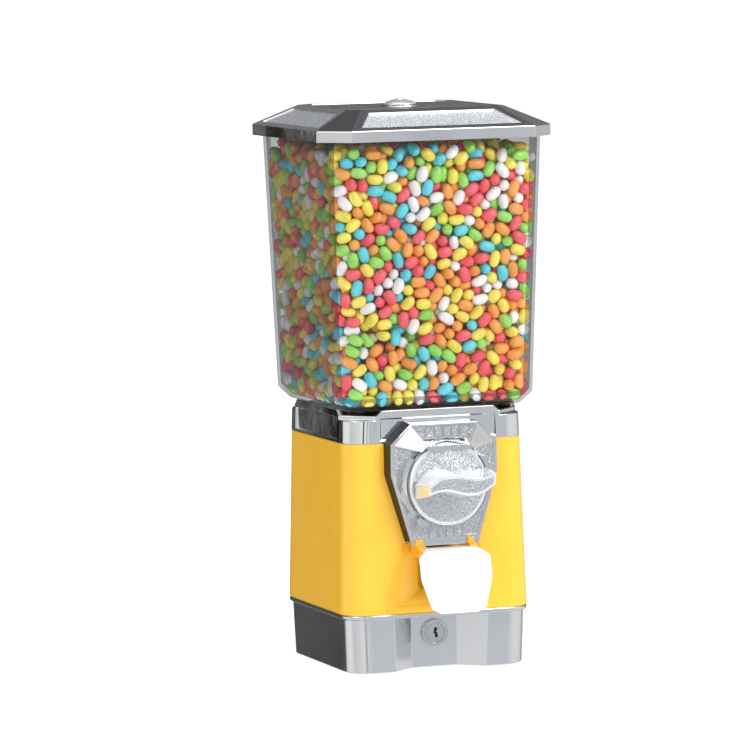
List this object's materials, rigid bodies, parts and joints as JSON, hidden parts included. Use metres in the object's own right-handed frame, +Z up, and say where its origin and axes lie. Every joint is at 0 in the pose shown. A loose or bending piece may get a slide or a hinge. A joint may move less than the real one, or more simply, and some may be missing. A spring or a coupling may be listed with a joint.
{
  "type": "coin-operated candy dispenser",
  "caption": "Countertop candy dispenser: clear square canister with chrome lid over a yellow body with coin mechanism, turning handle and chute door on a chrome base.",
  "frame": {"origin": "on the floor, at the middle of the overall footprint (lid back edge to handle front)", "axes": "+Z up, -Y towards the user in front of the handle and door, +X to the right seen from the front"},
  "size_m": [0.1746, 0.2002, 0.4],
  "materials": {
    "lid_chrome": "polished die casting with grained panels",
    "clear_plastic": "clear moulded plastic",
    "gasket_foam": "soft foam strip",
    "collar_chrome": "polished",
    "yellow_paint": "glossy enamel",
    "yellow_plastic": "glossy moulded plastic",
    "white_plastic": "glossy moulded plastic",
    "base_chrome": "polished",
    "steel_plate": "plain sheet",
    "black_rubber": "moulded",
    "zinc_steel": "zinc plated",
    "grey_plastic": "moulded",
    "cast_face": "grained die casting with polished edges",
    "cast_zinc": "as cast",
    "handle_chrome": "polished die casting",
    "lock_steel": "polished",
    "wheel_plastic": "moulded"
  },
  "bodies": {
    "cabinet": {"base_shell": "base_chrome", "base_plate": "steel_plate", "feet": "black_rubber", "feet_screws": "zinc_steel", "coin_box": "grey_plastic", "lock_barrel": "lock_steel", "lock_nut": "zinc_steel", "body_shell": "yellow_paint", "chute": "yellow_plastic", "hinge_pin": "zinc_steel", "coin_guide": "zinc_steel", "lock_catch": "zinc_steel", "collar": "collar_chrome", "floor_plate": "grey_plastic", "wheel_cover": "grey_plastic", "canister": "clear_plastic", "canister_gasket": "gasket_foam", "centre_rod": "zinc_steel", "rod_nut": "zinc_steel", "rod_washer": "zinc_steel", "rod_stop_collar": "zinc_steel", "mechanism_plate": "cast_face", "mechanism_housing": "cast_zinc", "mechanism_screws": "zinc_steel", "pawl_pin": "zinc_steel", "pawl_spring": "zinc_steel"},
    "crank": {"turn_handle": "handle_chrome", "crank_shaft": "zinc_steel", "coin_carrier": "zinc_steel", "ratchet_wheel": "zinc_steel", "drive_gear": "zinc_steel", "shaft_nut": "zinc_steel"},
    "wheel": {"candy_wheel": "wheel_plastic", "crown_gear": "wheel_plastic", "agitator": "wheel_plastic"},
    "door": {"chute_door": "white_plastic"},
    "lock": {"lock_plug": "lock_steel", "lock_cam": "zinc_steel", "cam_screw": "zinc_steel"},
    "pawl": {"pawl": "zinc_steel"},
    "lid": {"lid": "lid_chrome"},
    "lid_nut": {"lid_nut": "lid_chrome", "nut_retainer": "zinc_steel"}
  },
  "joints": [
    {"name": "lid_lift", "type": "slide", "parent": "cabinet", "child": "lid", "axis": [0, 0, 1], "range_m": [0, 0.06]},
    {"name": "lid_nut_turn", "type": "hinge", "parent": "lid", "child": "lid_nut", "pos_m": [0, 0.01285, 0.395], "axis": [0, 0, 1], "continuous": true},
    {"name": "crank_turn", "type": "hinge", "parent": "cabinet", "child": "crank", "pos_m": [0, -0.06715, 0.1335], "axis": [0, 1, 0], "continuous": true},
    {"name": "wheel_turn", "type": "hinge", "parent": "cabinet", "child": "wheel", "pos_m": [0, 0.01285, 0.171], "axis": [0, 0, 1], "continuous": true},
    {"name": "door_swing", "type": "hinge", "parent": "cabinet", "child": "door", "pos_m": [0, -0.06765, 0.086], "axis": [-1, 0, 0], "range_deg": [0, 60]},
    {"name": "lock_turn", "type": "hinge", "parent": "cabinet", "child": "lock", "pos_m": [0, -0.03215, 0.025], "axis": [0, -1, 0], "range_deg": [0, 90]},
    {"name": "pawl_swing", "type": "hinge", "parent": "cabinet", "child": "pawl", "pos_m": [0.018, -0.04715, 0.1505], "axis": [0, 1, 0], "range_deg": [0, 6], "stiffness_Nm_per_rad": 0.002, "springref_deg": -17.19}
  ],
  "couplings": [
    {"joint": "wheel_turn", "follows": "crank_turn", "ratio": 0.75}
  ]
}
